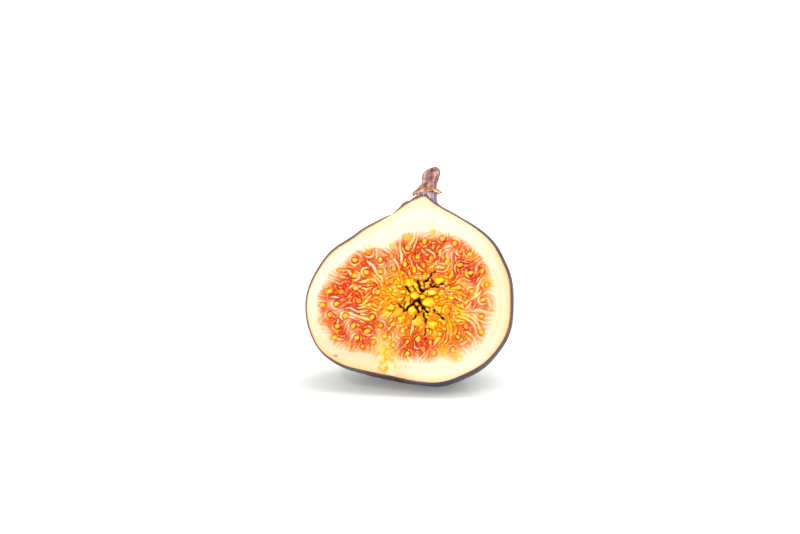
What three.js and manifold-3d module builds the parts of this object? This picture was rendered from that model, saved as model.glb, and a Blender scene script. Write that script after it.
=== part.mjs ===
// Half of a ripe fresh fig, cut lengthwise just in front of its stem. It stands on its broad base,
// with the cut face to the front (-Y) and leaning back. Units are millimetres and +Z is up.
// Five bodies: the purple skin with the neck, the cream flesh, the red pulp with its seeds, the golden
// florets in the middle of the pulp, and the stem with its bracts.

import * as THREE from "three";
import { mergeVertices } from "three/addons/utils/BufferGeometryUtils.js";
import Module from "manifold-3d";

const wasm = await Module();
wasm.setup();

// How the half stands. The fruit's own frame has x to the right, y to the back and z along the fruit
// to its stem. The cut plane is y = -CUT_IN_FRONT in it.
const TILT_BACK = THREE.MathUtils.degToRad(22);
const LEAN_RIGHT = THREE.MathUtils.degToRad(10);
const PLACE = new THREE.Vector3(0.45, -6.33, 23.8);

// Thicknesses and the clearance between neighbouring bodies.
const CUT_IN_FRONT = 3;
const SKIN = 0.7;
const GAP = 0.3;
const BACK_FULLNESS = 1.03;

// The meridian on the right and on the left of the cut face, from the neck down to the eye,
// as [distance from the fruit's axis, height along it]. The two lists run in step.
const RIGHT = [
  [2.3, 24.4], [2.75, 23.5], [3.8, 22.3], [8.3, 20.6], [12.7, 18.8], [16.6, 16.4], [19.8, 13.0],
  [23.2, 7.9], [24.95, 2.0], [25.7, -4.0], [24.6, -9.0], [21.7, -14.1], [17.5, -17.9],
  [12.5, -20.9], [7.0, -21.9], [2.4, -21.85], [0, -21.3],
];
const LEFT = [
  [2.3, 24.4], [2.85, 23.5], [3.95, 22.3], [7.3, 19.1], [11.4, 15.7], [14.8, 12.7], [17.3, 9.8],
  [21.6, 5.3], [24.1, -0.2], [25.15, -5.4], [24.6, -10.1], [22.5, -15.0], [18.8, -19.3],
  [13.0, -21.6], [7.0, -21.95], [2.4, -21.8], [0, -21.3],
];
const NECK_TOP = 24.4;
const FLESH_TOP = 23.7;

// The neck and the stem stand to the left of the fruit's axis. The fruit bends over to them
// between these two heights.
const NECK_LEFT = 1.6;
const BEND = { from: 14, to: 24 };

// Soft ridges that run from the neck to the eye.
const RIB_COUNT = 17;
const RIB_HEIGHT = 0.34;

// The pulp, round the middle of its hollow: how far it reaches every 15 degrees from +x towards the
// stem, how deep it lies behind the cut, and the crevice in the middle.
const HEART = { x: 2.2, z: -1.4 };
const PULP_REACH = [
  19.2, 18.8, 18.5, 18.2, 18.0, 17.7, 17.0, 16.0, 15.2, 15.0, 18.6, 20.9,
  23.4, 25.5, 25.2, 22.8, 18.5, 16.7, 16.1, 16.2, 16.9, 18.2, 19.1, 19.3,
];
const PULP_DEPTH = 22;
const PULP_SINK = 0.35;
const CREVICE = { length: 3.8, width: 1.6, depth: 3.6, turn: THREE.MathUtils.degToRad(38) };

// Seeds lie all over the pulp, never nearer to each other than SEED_SPACING.
const SEED_RADIUS = 0.78;
const SEED_SPACING = 2.8;
const SEED_TRIES = 900;
const SEED_CLEAR_OF_HEART = 6.8;
const SEED_CLEAR_OF_RIM = 1.3;

// Florets ring the crevice, further out along it than across it.
const FLORETS = 15;
const FLORET_RING = 2.9;
const ALONG_CREVICE = 1.6;
const CORE_REACH = 4.9;
const CORE_DEPTH = 7.5;
const CORE_SINK = 0.8;
const FLORET_GAP = 0.42;

// The stem's cut end drops to the left.
const STEM_RADIUS = 2.05;
const STEM_LENGTH = 6.6;
const STEM_SLANT = 0.5;
const BRACT_ANGLES = [-0.3, 3.55, 1.7];
const BRACT_REACH = 3.5;

// Numbers from 0 to 1 that come out the same on every run.
function drawer(seed) {
  let state = seed >>> 0;
  return () => {
    state = (Math.imul(state, 1664525) + 1013904223) >>> 0;
    return state / 4294967296;
  };
}

// A closed body from rings of equal length, each end closed by one point.
function loft(first, rings, last) {
  const count = rings[0].length;
  const points = [first, ...rings.flat(), last];
  const end = points.length - 1;
  const faces = [];
  for (let k = 0; k < count; k++) {
    const next = (k + 1) % count;
    faces.push(0, 1 + k, 1 + next);
    for (let j = 0; j + 1 < rings.length; j++) {
      const a = 1 + j * count;
      const b = a + count;
      faces.push(a + k, b + k, b + next, a + k, b + next, a + next);
    }
    const lastRing = 1 + (rings.length - 1) * count;
    faces.push(end, lastRing + next, lastRing + k);
  }
  const geometry = new THREE.BufferGeometry();
  geometry.setAttribute("position", new THREE.Float32BufferAttribute(points.flat(), 3));
  geometry.setIndex(faces);
  return geometry;
}

function toSolid(geometry) {
  const bare = geometry.clone();
  for (const name of Object.keys(bare.attributes)) {
    if (name !== "position") bare.deleteAttribute(name);
  }
  const merged = mergeVertices(bare, 1e-5);
  const solid = new wasm.Manifold(new wasm.Mesh({
    numProp: 3,
    vertProperties: new Float32Array(merged.attributes.position.array),
    triVerts: new Uint32Array(merged.index.array),
  }));
  if (solid.volume() <= 0) throw new Error("a body is inside out");
  return solid;
}

function toGeometry(solid) {
  const mesh = solid.getMesh();
  const geometry = new THREE.BufferGeometry();
  geometry.setAttribute("position", new THREE.BufferAttribute(mesh.vertProperties, 3));
  geometry.setIndex(new THREE.BufferAttribute(mesh.triVerts, 1));
  geometry.computeVertexNormals();
  return geometry;
}

// From the fruit's frame to the frame of the whole part.
const pose = new THREE.Matrix4()
  .makeTranslation(PLACE)
  .multiply(new THREE.Matrix4().makeRotationX(-TILT_BACK))
  .multiply(new THREE.Matrix4().makeRotationY(LEAN_RIGHT));

const FAR = 80;

// Everything in front of the cut plane.
function aheadOfCut() {
  const box = new THREE.BoxGeometry(2 * FAR, FAR, 2 * FAR);
  box.translate(0, -FAR / 2 - CUT_IN_FRONT, 0);
  return toSolid(box);
}

// Everything lower than a level over the surface that the half stands on.
function belowLevel(level) {
  const box = new THREE.BoxGeometry(2 * FAR, 2 * FAR, FAR);
  box.translate(0, 0, level - FAR / 2);
  box.applyMatrix4(pose.clone().invert());
  return toSolid(box);
}

// The fruit's outer form.
const rightSide = new THREE.SplineCurve(RIGHT.map(([r, z]) => new THREE.Vector2(r, z)));
const leftSide = new THREE.SplineCurve(LEFT.map(([r, z]) => new THREE.Vector2(r, z)));

function meridian(s, angle) {
  const share = (1 - Math.cos(angle)) / 2;
  return rightSide.getPoint(s).lerp(leftSide.getPoint(s), share);
}

// How far the fruit's middle lies to the left of its axis at a height.
function bend(height) {
  return NECK_LEFT * THREE.MathUtils.smoothstep(height, BEND.from, BEND.to);
}

function ribs(s, angle) {
  const wander = 0.9 * Math.sin(2 * angle + 0.4) + 0.7 * Math.sin(3 * angle + 1.3);
  const strength = 0.7 + 0.3 * Math.cos(5 * angle + 1);
  const alongFruit = Math.sin(Math.PI * Math.min(1, s * 1.15)) ** 0.8;
  return RIB_HEIGHT * alongFruit * strength * Math.cos(RIB_COUNT * angle + wander);
}

function fruitPoint(s, angle, inset, ribShare) {
  const step = 0.004;
  const here = meridian(s, angle);
  const along = meridian(Math.min(1, s + step), angle).sub(meridian(Math.max(0, s - step), angle));
  const outward = new THREE.Vector2(-along.y, along.x).normalize();
  const out = ribShare * ribs(s, angle) - inset;
  const r = Math.max(0, here.x + outward.x * out);
  const fullness = Math.sin(angle) > 0 ? 1 + (BACK_FULLNESS - 1) * Math.sin(angle) ** 2 : 1;
  const height = here.y + outward.y * out;
  return [r * Math.cos(angle) - bend(height), r * Math.sin(angle) * fullness, height];
}

function fruitForm({ columns, rows, inset, ribShare, from, top }) {
  const rings = [];
  for (let j = 0; j < rows; j++) {
    const s = from + (0.985 - from) * (j / (rows - 1));
    const ring = [];
    for (let k = 0; k < columns; k++) {
      ring.push(fruitPoint(s, (2 * Math.PI * k) / columns, inset, ribShare));
    }
    rings.push(ring);
  }
  return loft([-bend(top), 0, top], rings, fruitPoint(1, 0, inset, 0));
}

// The pulp: polar round the heart, with its reach as a closed smooth curve.
function reach(angle) {
  const count = PULP_REACH.length;
  const place = ((((angle / (2 * Math.PI)) * count) % count) + count) % count;
  const at = Math.floor(place);
  const t = place - at;
  const [a, b, c, d] = [-1, 0, 1, 2].map((k) => PULP_REACH[(at + k + count) % count]);
  return b + 0.5 * t * (c - a + t * (2 * a - 5 * b + 4 * c - d + t * (3 * (b - c) + d - a)));
}

function pulpPlace(angle, distance, y) {
  return [HEART.x + distance * Math.cos(angle), y, HEART.z + distance * Math.sin(angle)];
}

function creviceDepth(angle, distance) {
  const along = distance * Math.cos(angle - CREVICE.turn) / CREVICE.length;
  const across = distance * Math.sin(angle - CREVICE.turn) / CREVICE.width;
  return CREVICE.depth * Math.exp(-(along * along + across * across));
}

// How far the pulp's face lies behind the cut plane. Strands run out from the heart as ridges.
function pulpFace(angle, distance) {
  const share = distance / reach(angle);
  const strands = Math.cos(15 * angle + 1.5 * Math.sin(4 * share + 3 * angle));
  const bumps = 0.22 * strands * Math.sin(Math.PI * share) + 0.12 * Math.sin(1.7 * distance + 5 * angle);
  return PULP_SINK - bumps * Math.min(1, 3 * share) + creviceDepth(angle, distance);
}

const SPOKES = 60;
const FACE_RINGS = 13;
const DOME_RINGS = 7;

function pulpDome(extra) {
  const rings = [];
  for (let j = 0; j < DOME_RINGS; j++) {
    const slope = (Math.PI / 2) * (j / DOME_RINGS);
    const y = -CUT_IN_FRONT + (PULP_DEPTH + extra) * Math.sin(slope);
    rings.push(spokes((angle) => pulpPlace(angle, (reach(angle) + extra) * Math.cos(slope), y)));
  }
  return rings;
}

function spokes(point) {
  return Array.from({ length: SPOKES }, (_, k) => point((2 * Math.PI * k) / SPOKES));
}

function pulpBase() {
  const face = [];
  for (let j = 1; j <= FACE_RINGS; j++) {
    const share = (j / FACE_RINGS) ** 0.85;
    face.push(spokes((angle) => {
      const distance = share * reach(angle);
      return pulpPlace(angle, distance, -CUT_IN_FRONT + pulpFace(angle, distance));
    }));
  }
  const middle = [HEART.x, -CUT_IN_FRONT + pulpFace(0, 0.01), HEART.z];
  const back = [HEART.x, -CUT_IN_FRONT + PULP_DEPTH, HEART.z];
  return toSolid(loft(middle, [...face, ...pulpDome(0).slice(1)], back));
}

function pulpHollow() {
  const mouth = spokes((angle) => pulpPlace(angle, reach(angle) + GAP, -CUT_IN_FRONT - 3));
  const back = [HEART.x, -CUT_IN_FRONT + PULP_DEPTH + GAP, HEART.z];
  const front = [HEART.x, -CUT_IN_FRONT - 3, HEART.z];
  return toSolid(loft(front, [mouth, ...pulpDome(GAP)], back));
}

// Where the seeds are: darts thrown evenly over the pulp, kept where they have room.
function seedPlaces() {
  const draw = drawer(20417);
  const kept = [];
  for (let k = 0; k < SEED_TRIES; k++) {
    const angle = 2 * Math.PI * draw();
    const distance = Math.sqrt(draw()) * reach(angle);
    const x = distance * Math.cos(angle);
    const z = distance * Math.sin(angle);
    if (distance < SEED_CLEAR_OF_HEART + ALONG_CREVICE * onCrevice(angle)) continue;
    if (distance > reach(angle) - SEED_CLEAR_OF_RIM) continue;
    if (kept.some((other) => Math.hypot(other.x - x, other.z - z) < SEED_SPACING)) continue;
    kept.push({ angle, distance, x, z });
  }
  return kept;
}

function seeds() {
  return seedPlaces().map(({ angle, distance }) => {
    const seed = new THREE.IcosahedronGeometry(SEED_RADIUS, 0);
    seed.scale(1.15, 0.9, 0.95);
    seed.rotateY(-angle);
    seed.translate(...pulpPlace(angle, distance, -CUT_IN_FRONT + pulpFace(angle, distance) - 0.1));
    return toSolid(seed);
  });
}

// 1 on the line of the crevice and 0 square to it.
function onCrevice(angle) {
  return Math.abs(Math.cos(angle - CREVICE.turn));
}

// What the florets grow from: a bowl with the crevice in its face, sunk into the pulp. With extra it is
// larger, and its face lies in front of the cut, as the hollow round it needs.
function floretCore(extra) {
  const rim = (angle) => CORE_REACH + ALONG_CREVICE * onCrevice(angle) + extra;
  const sink = (angle, distance) => (extra > 0 ? -2 : CORE_SINK + creviceDepth(angle, distance));
  const face = [0.25, 0.5, 0.75, 1].map((share) => spokes((angle) => {
    const distance = share * rim(angle);
    return pulpPlace(angle, distance, -CUT_IN_FRONT + sink(angle, distance));
  }));
  const bowl = [0.2, 0.4, 0.6, 0.8].map((share) => spokes((angle) => {
    const slope = (Math.PI / 2) * share;
    const y = -CUT_IN_FRONT + CORE_DEPTH + (CORE_DEPTH + extra) * (Math.sin(slope) - 1);
    return pulpPlace(angle, rim(angle) * Math.cos(slope), y + extra);
  }));
  const front = [HEART.x, -CUT_IN_FRONT + sink(0, 0), HEART.z];
  const back = [HEART.x, -CUT_IN_FRONT + CORE_DEPTH + extra, HEART.z];
  return toSolid(loft(front, [...face, ...bowl], back));
}

// Golden florets crowd round the crevice with their tips over it. With extra they are larger all round,
// as the hollow that they lie in.
function florets(extra) {
  const draw = drawer(911);
  const each = Array.from({ length: FLORETS }, (_, k) => {
    const angle = (2 * Math.PI * (k + 0.6 * draw())) / FLORETS;
    const distance = FLORET_RING + ALONG_CREVICE * onCrevice(angle) + 0.7 * draw();
    const floret = new THREE.IcosahedronGeometry(1, 0);
    floret.scale(1.9 + 0.4 * draw() + extra, 1 + extra, 0.95 + extra);
    floret.rotateZ(-0.25);
    floret.rotateY(-angle);
    floret.translate(...pulpPlace(angle, distance, -CUT_IN_FRONT + 0.75));
    return toSolid(floret);
  });
  return each.reduce((whole, piece) => whole.add(piece), floretCore(extra));
}

function pulpSolid() {
  const hollowed = pulpBase().subtract(florets(FLORET_GAP));
  return seeds().reduce((whole, seed) => whole.add(seed), hollowed);
}

function skinSolid() {
  const outside = { columns: 64, rows: 34, inset: 0, ribShare: 1, from: 0, top: NECK_TOP };
  const inside = { columns: 40, rows: 24, inset: SKIN, ribShare: 0, from: 0.06, top: FLESH_TOP };
  const core = toSolid(fruitForm(inside)).subtract(belowLevel(SKIN + 0.2));
  return toSolid(fruitForm(outside)).subtract(core).subtract(aheadOfCut()).subtract(belowLevel(0));
}

function fleshSolid() {
  const form = { columns: 40, rows: 24, inset: SKIN + GAP, ribShare: 0, from: 0.06, top: FLESH_TOP - GAP };
  return toSolid(fruitForm(form))
    .subtract(aheadOfCut())
    .subtract(belowLevel(SKIN + 0.2 + GAP))
    .subtract(pulpHollow());
}

// The stem: a stub with a waist over its foot and a slanting cut end.
function stemSolid() {
  const around = 16;
  const rows = 12;
  const foot = NECK_TOP + GAP;
  const rings = [];
  for (let j = 0; j < rows; j++) {
    const t = j / (rows - 1);
    const rounding = Math.sqrt(Math.max(0, 1 - Math.max(0, (t - 0.7) / 0.34) ** 2));
    const flare = 0.16 * Math.exp(-((t / 0.17) ** 2)) - 0.1 * Math.exp(-(((t - 0.34) / 0.14) ** 2));
    const ring = [];
    for (let k = 0; k < around; k++) {
      const angle = (-2 * Math.PI * k) / around;
      const wrinkle = 1 + 0.06 * Math.cos(5 * angle + 3 * t) + 0.03 * Math.cos(9 * angle - 5 * t);
      const r = STEM_RADIUS * (1 + flare) * rounding * wrinkle;
      const x = r * Math.cos(angle);
      const y = 0.92 * r * Math.sin(angle);
      ring.push([x - NECK_LEFT, y, foot + STEM_LENGTH * t + STEM_SLANT * t * t * x]);
    }
    rings.push(ring);
  }
  return toSolid(loft([-NECK_LEFT, 0, foot], rings, [-NECK_LEFT, 0, foot + STEM_LENGTH * 1.01]));
}

// One bract: a small ragged scale that grows from the stem's foot and curls outwards and down.
function bract(angle, length) {
  const outline = [
    [0.8, -1.7], [2.3, -1.75], [2.8, -1.0], [length - 0.2, -0.5], [length, 0.15],
    [2.9, 0.6], [2.75, 1.2], [2.2, 1.7], [0.8, 1.6],
  ];
  const drop = (x) => -0.3 * Math.max(0, x - 2.1) ** 1.4;
  const thickness = 0.65;
  const low = NECK_TOP + GAP + 0.25;
  const above = outline.map(([x, y]) => [x, y, low + thickness + drop(x)]);
  const below = outline.map(([x, y]) => [x, y, low + drop(x)]);
  const scale = loft([1.7, 0, low + thickness], [above, below], [1.7, 0, low]);
  scale.rotateZ(angle);
  scale.translate(-NECK_LEFT, 0, 0);
  return toSolid(scale);
}

function stemWithBracts() {
  return BRACT_ANGLES
    .map((angle, k) => bract(angle, BRACT_REACH - 0.15 * k))
    .reduce((whole, scale) => whole.add(scale), stemSolid());
}

// One finish for each body.
const finishes = {
  skin: { color: 0x4a3346, roughness: 0.5, metalness: 0 },
  flesh: { color: 0xfdf3d8, roughness: 0.45, metalness: 0 },
  pulp: { color: 0xd94a35, roughness: 0.3, metalness: 0 },
  florets: { color: 0xe2a023, roughness: 0.3, metalness: 0 },
  stem: { color: 0x8d6a62, roughness: 0.8, metalness: 0 },
};

function part(name, solid) {
  const mesh = new THREE.Mesh(toGeometry(solid), new THREE.MeshStandardMaterial(finishes[name]));
  mesh.name = name;
  return mesh;
}

const fruit = new THREE.Group();
fruit.add(part("skin", skinSolid()));
fruit.add(part("flesh", fleshSolid()));
fruit.add(part("pulp", pulpSolid()));
fruit.add(part("florets", florets(0)));
fruit.add(part("stem", stemWithBracts()));
fruit.rotation.y = LEAN_RIGHT;

const leaning = new THREE.Group();
leaning.add(fruit);
leaning.rotation.x = -TILT_BACK;

const fig = new THREE.Group();
fig.add(leaning);
fig.position.copy(PLACE);

export default fig;
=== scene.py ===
"""Half of a ripe fresh fig, dressed: purple skin, ivory flesh, red pulp with its strands and seeds,
golden florets, and the stem with its bracts, on a plain pale floor in soft light.

Shapes are worked out in millimetres in the fruit's own frame, with x to the right in the cut face,
y to the back and z along the fruit to its stem, and are set down in the row's frame in metres."""

import math
import random

import bmesh
import bpy
import numpy as np
from mathutils import Matrix, Vector, kdtree, noise


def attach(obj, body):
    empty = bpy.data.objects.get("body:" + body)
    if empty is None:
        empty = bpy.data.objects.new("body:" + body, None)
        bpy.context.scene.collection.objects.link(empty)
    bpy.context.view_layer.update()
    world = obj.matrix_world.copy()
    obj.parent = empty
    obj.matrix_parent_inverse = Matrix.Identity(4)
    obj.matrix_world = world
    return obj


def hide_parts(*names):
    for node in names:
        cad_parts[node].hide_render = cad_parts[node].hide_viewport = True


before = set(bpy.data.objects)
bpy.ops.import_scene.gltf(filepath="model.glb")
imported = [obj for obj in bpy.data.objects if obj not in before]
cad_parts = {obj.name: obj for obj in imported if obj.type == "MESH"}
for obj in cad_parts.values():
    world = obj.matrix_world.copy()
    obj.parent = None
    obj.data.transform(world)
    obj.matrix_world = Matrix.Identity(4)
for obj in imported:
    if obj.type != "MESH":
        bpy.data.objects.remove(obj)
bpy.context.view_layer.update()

MM = 0.001

# How the half stands, as in the solids.
TILT_BACK = math.radians(22)
LEAN_RIGHT = math.radians(10)
PLACE = (0.45, -6.33, 23.8)
CUT_IN_FRONT = 3.0
BACK_FULLNESS = 1.03

# The meridians on the right and the left of the cut face, as [distance from the axis, height].
RIGHT = [
    (2.3, 25.1), (3.1, 23.8), (4.0, 22.4), (8.3, 20.6), (12.7, 18.8), (16.6, 16.4), (19.8, 13.0),
    (23.2, 7.9), (24.95, 2.0), (25.7, -4.0), (24.6, -9.0), (21.7, -14.1), (17.5, -17.9),
    (12.5, -20.9), (7.0, -21.9), (2.4, -21.85), (0.0, -21.3),
]
LEFT = [
    (2.3, 25.1), (3.15, 23.8), (4.1, 22.4), (7.3, 19.1), (11.4, 15.7), (14.8, 12.7), (17.3, 9.8),
    (21.6, 5.3), (24.1, -0.2), (25.15, -5.4), (24.6, -10.1), (22.5, -15.0), (18.8, -19.3),
    (13.0, -21.6), (7.0, -21.95), (2.4, -21.8), (0.0, -21.3),
]
NECK_TOP = 25.1
NECK_LEFT = 1.6
BEND_FROM, BEND_TO = 14.0, 24.0
RIB_COUNT = 17
RIB_HEIGHT = 0.34

# Behind the cut, how much lower the left shoulder lies and, above it, the foot of the neck. How far the
# neck's left side lies further in there, and its right side further out.
SHOULDER_DROP, NECK_DROP = 1.1, 0.55
NECK_LEFT_IN, NECK_RIGHT_OUT = 1.7, 0.6

# The meridians' share that the rings of a shell stop at, just short of the eye.
LAST_RING = 0.985

# The skin's thickness where it is cut, and how far the flesh reaches into it so that no gap shows.
# On the flat spot, the lowest that the skin's inside and the flesh may lie.
SKIN = 0.3
FLESH_INTO_SKIN = 0.04
SKIN_INSIDE_LOWEST, FLESH_LOWEST = 0.6, 0.7

# The pulp round its heart: its reach every 15 degrees from +x towards the stem.
HEART_X, HEART_Z = 2.2, -1.4
PULP_REACH = [
    19.2, 18.8, 18.5, 18.2, 18.0, 17.7, 17.0, 16.4, 16.0, 14.7, 18.4, 20.9,
    23.4, 25.5, 25.2, 22.8, 18.5, 16.7, 16.1, 16.2, 16.9, 18.2, 19.1, 19.3,
]
PULP_DEPTH = 22.0
PULP_UNDER_FLESH = 0.95
PULP_GRID = 300
HEART_FROM, HEART_TO = 2.8, 4.6
CREVICE_TURN = math.radians(38)
ALONG_CREVICE = 1.6

# The solids' seeds, then smaller ones between them, as (spacing, tries, radius).
SEED_ROUNDS = [(2.8, 900, 0.72), (2.4, 240, 0.55)]
SEED_CLEAR_OF_HEART = 6.8
SEED_CLEAR_OF_RIM = 1.3

# The strands: how far apart, the step along them, where they begin, and their half widths. Each is
# outlined by a darker line of its own width, a little way off.
STRAND_SPACING = 0.96
STRAND_STEP = 0.12
STRANDS_FROM = 3.4
STRAND_WIDTHS = (0.14, 0.37)
OUTLINE_OFF, OUTLINE_WIDTH = 0.14, 0.13
STREAM_WIDTH = 1.15

# The golden band from the pulp down to the eye, the pale eye, and an orange mark in the flesh.
CANAL = [(-3.6, -14.4), (-0.8, -21.9)]
CANAL_WIDTH = 2.3
EYE, EYE_RADIUS = (-0.2, -21.4), 1.1
MARK, MARK_RADIUS = (-14.7, -19.6), 0.5

# The heart's cracks, as lines in the cut face from the heart's middle.
CRACKS = [
    [(2.5, 7.3), (1.7, 5.6), (1.3, 4.6), (0.5, 4.1)],
    [(-1.1, 4.0), (-0.5, 3.1), (-0.2, 2.2), (0.7, 1.6), (1.3, 2.3)],
    [(2.2, 5.1), (2.6, 4.5), (2.2, 3.4), (4.0, 3.5), (5.0, 4.6)],
    [(-4.4, -2.5), (-2.6, -3.9), (-1.7, -2.5), (-0.8, -1.2), (0.0, -0.4)],
    [(-1.2, -1.9), (0.1, -2.5), (0.6, -3.6), (-0.1, -5.4)],
    [(0.1, -0.8), (1.7, -2.5), (3.2, -3.2)],
    [(1.7, -3.3), (2.9, -5.0), (3.4, -7.0), (3.7, -9.5)],
    [(4.2, -2.2), (5.3, -3.0), (6.4, -3.5), (8.1, -4.6)],
    [(-3.6, 2.0), (-2.7, 1.2)],
]

# The heart's large florets, as (x, z, half length, half width, turn in degrees).
HEART_FLORETS = [
    (-1.1, 0.3, 1.25, 0.95, 10), (3.0, 2.1, 1.65, 1.0, 30), (2.7, -0.5, 1.9, 1.5, 10),
    (-1.0, -3.3, 1.3, 1.1, 70), (1.4, -5.8, 1.6, 1.45, 10), (-4.1, -4.5, 1.3, 1.1, 10),
    (5.1, -1.9, 1.0, 0.75, 40), (4.2, 5.1, 1.4, 0.75, 30), (5.9, 5.1, 0.7, 0.6, 10),
    (-2.6, -0.9, 1.4, 0.6, 95), (4.6, -5.8, 1.3, 1.15, 10), (7.2, -1.6, 1.15, 1.1, 10),
    (1.6, 3.6, 0.8, 0.7, 10), (-2.9, 3.1, 1.3, 1.1, 10), (5.3, 2.2, 0.85, 0.75, 10),
    (-3.0, -6.0, 0.9, 0.85, 10), (-6.1, -3.7, 0.95, 0.9, 10), (-1.3, 3.0, 0.95, 0.65, 95),
    (0.3, 5.4, 1.15, 0.6, 95),
]

# Where the pulp is more golden (above 0) or more crimson, as (x, z, radius, how much).
TINTS = [
    (8.0, -9.0, 8.0, 1.0), (-18.0, -4.0, 5.0, -0.7), (-16.0, -13.0, 3.5, -0.7), (13.0, 11.5, 4.5, -0.6),
    (2.5, -12.6, 3.0, -0.8), (2.0, 10.0, 4.0, -0.4), (-11.0, 9.0, 5.0, -0.4), (-9.0, -1.5, 4.0, 0.6),
]

# Yellow spots at the pulp's rim and in it, as (x, z, radius).
SPOTS = [
    (-5.5, 13.9, 1.0), (0.1, 16.4, 1.0), (15.7, 6.8, 1.5), (-15.0, 9.6, 0.8), (12.4, -12.6, 1.6),
    (-9.6, 11.3, 0.7), (11.0, -1.2, 1.2), (9.0, -12.0, 1.2), (-16.5, 2.5, 0.8),
]

# Pale streams of strands that run in from the rim, from the heart's middle.
PALE_STREAMS = [
    [(-9.4, 10.9), (-8.0, 6.5), (-6.6, 3.0), (-5.8, 0.0)],
    [(6.5, -1.4), (12.0, -0.6), (18.0, -1.3)],
    [(-7.5, -5.9), (-7.6, -10.0), (-7.1, -14.8)],
    [(9.5, 5.6), (13.0, 4.6), (15.5, 2.0)],
    [(-12.6, 10.8), (-11.6, 7.5), (-9.6, 4.0)],
    [(-3.0, -8.0), (-3.6, -12.6)],
    [(4.6, 13.6), (5.6, 9.5)],
    [(-21.0, -6.0), (-17.0, -8.0), (-13.5, -12.5)],
]

# The small cells round the large florets fill an oval: a circle of this radius, moved and stretched.
CELL_FIELD = 9.0
CELL_MIDDLE, CELL_STRETCH = (1.2, -0.6), (1.15, 0.85)
CELL_TRIES = 1500

STEM_RADIUS = 2.05
STEM_LENGTH = 6.35
STEM_SLANT = 0.5

# The bracts, as (direction, how narrow the tip is, how far it drops), and their foot, edge and reach.
BRACTS = [(-0.42, 0.3, 0.9), (3.62, 0.45, 1.5), (1.55, 0.35, 0.9)]
BRACT_FOOT, BRACT_EDGE, BRACT_REACH = 1.55, 2.85, 3.85
BRACT_HALF_SPREAD = 1.15
BRACT_THICKNESS = 0.45


# Numbers and shapes.


def drawer(seed):
    """Numbers from 0 to 1 that come out the same on every run."""
    state = seed

    def draw():
        nonlocal state
        state = (state * 1664525 + 1013904223) % 4294967296
        return state / 4294967296

    return draw


def smoothstep(low, high, value):
    t = np.clip((value - low) / (high - low), 0.0, 1.0)
    return t * t * (3 - 2 * t)


def bell(off, width=1.0):
    """1 where off is 0, and next to nothing from twice the width on."""
    return np.exp(-((off / width) ** 2))


def spline(points, s):
    """The uniform Catmull-Rom curve through the points, at shares s of its way."""
    points = np.asarray(points, float)
    last = len(points) - 1
    place = np.clip(s, 0.0, 1.0) * last
    at = np.minimum(place.astype(int), last)
    t = (place - at)[..., None]
    a, b = points[np.maximum(at - 1, 0)], points[at]
    c, d = points[np.minimum(at + 1, last)], points[np.minimum(at + 2, last)]
    start, end = (c - a) / 2, (d - b) / 2
    return (2 * b - 2 * c + start + end) * t**3 + (-3 * b + 3 * c - 2 * start - end) * t**2 + start * t + b


def meridian(s, angle):
    share = ((1 - np.cos(angle)) / 2)[..., None]
    return spline(RIGHT, s) * (1 - share) + spline(LEFT, s) * share


def bend(height):
    return NECK_LEFT * smoothstep(BEND_FROM, BEND_TO, height)


def ribs(s, angle):
    wander = 0.9 * np.sin(2 * angle + 0.4) + 0.7 * np.sin(3 * angle + 1.3)
    strength = 0.7 + 0.3 * np.cos(5 * angle + 1)
    along = np.sin(math.pi * np.minimum(1, s * 1.15)) ** 0.8
    return RIB_HEIGHT * along * strength * np.cos(RIB_COUNT * angle + wander)


def fruit_points(s, angle, inset=0.0, raised=0.0):
    """Points on the fruit's form, moved in by inset and out by raised."""
    s, angle = np.broadcast_arrays(np.asarray(s, float), np.asarray(angle, float))
    step = 0.004
    here = meridian(s, angle)
    along = meridian(np.minimum(1, s + step), angle) - meridian(np.maximum(0, s - step), angle)
    outward = np.stack([-along[..., 1], along[..., 0]], -1)
    outward /= np.maximum(1e-9, np.linalg.norm(outward, axis=-1))[..., None]
    out = raised - inset
    r = np.maximum(0, here[..., 0] + outward[..., 0] * out)
    height = here[..., 1] + outward[..., 1] * out
    fullness = np.where(np.sin(angle) > 0, 1 + (BACK_FULLNESS - 1) * np.sin(angle) ** 2, 1.0)
    points = np.stack([r * np.cos(angle) - bend(height), r * np.sin(angle) * fullness, height], -1)
    return sunk_shoulder(points)


def sunk_shoulder(points):
    """The left shoulder lies a little lower behind the cut than in it, and the neck a little further in."""
    x, y, z = np.moveaxis(points, -1, 0)
    behind = smoothstep(-CUT_IN_FRONT, -0.8, y)
    lower = SHOULDER_DROP * smoothstep(5.0, 11.0, z) + NECK_DROP * smoothstep(17.0, 20.5, z)
    lower = lower * behind * smoothstep(2.0, 5.0, -x) * (1 - smoothstep(22.4, 24.4, z))
    off_axis = x + bend(z)
    inwards = NECK_LEFT_IN * smoothstep(0.3, 3.4, -off_axis) * smoothstep(15.5, 20.5, z)
    inwards = inwards - NECK_RIGHT_OUT * smoothstep(0.3, 3.4, off_axis) * smoothstep(18.0, 23.0, z)
    inwards = inwards * behind * (1 - smoothstep(23.8, 25.2, z))
    return np.stack([x + inwards, y, z - lower], -1)


def reach(angle):
    """How far the pulp reaches from its heart at an angle in the cut face."""
    table = np.asarray(PULP_REACH)
    count = len(table)
    place = (np.asarray(angle) / (2 * math.pi) * count) % count
    at = np.floor(place).astype(int)
    t = place - at
    a, b, c, d = (table[(at + k) % count] for k in (-1, 0, 1, 2))
    return b + 0.5 * t * (c - a + t * (2 * a - 5 * b + 4 * c - d + t * (3 * (b - c) + d - a)))


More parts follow.
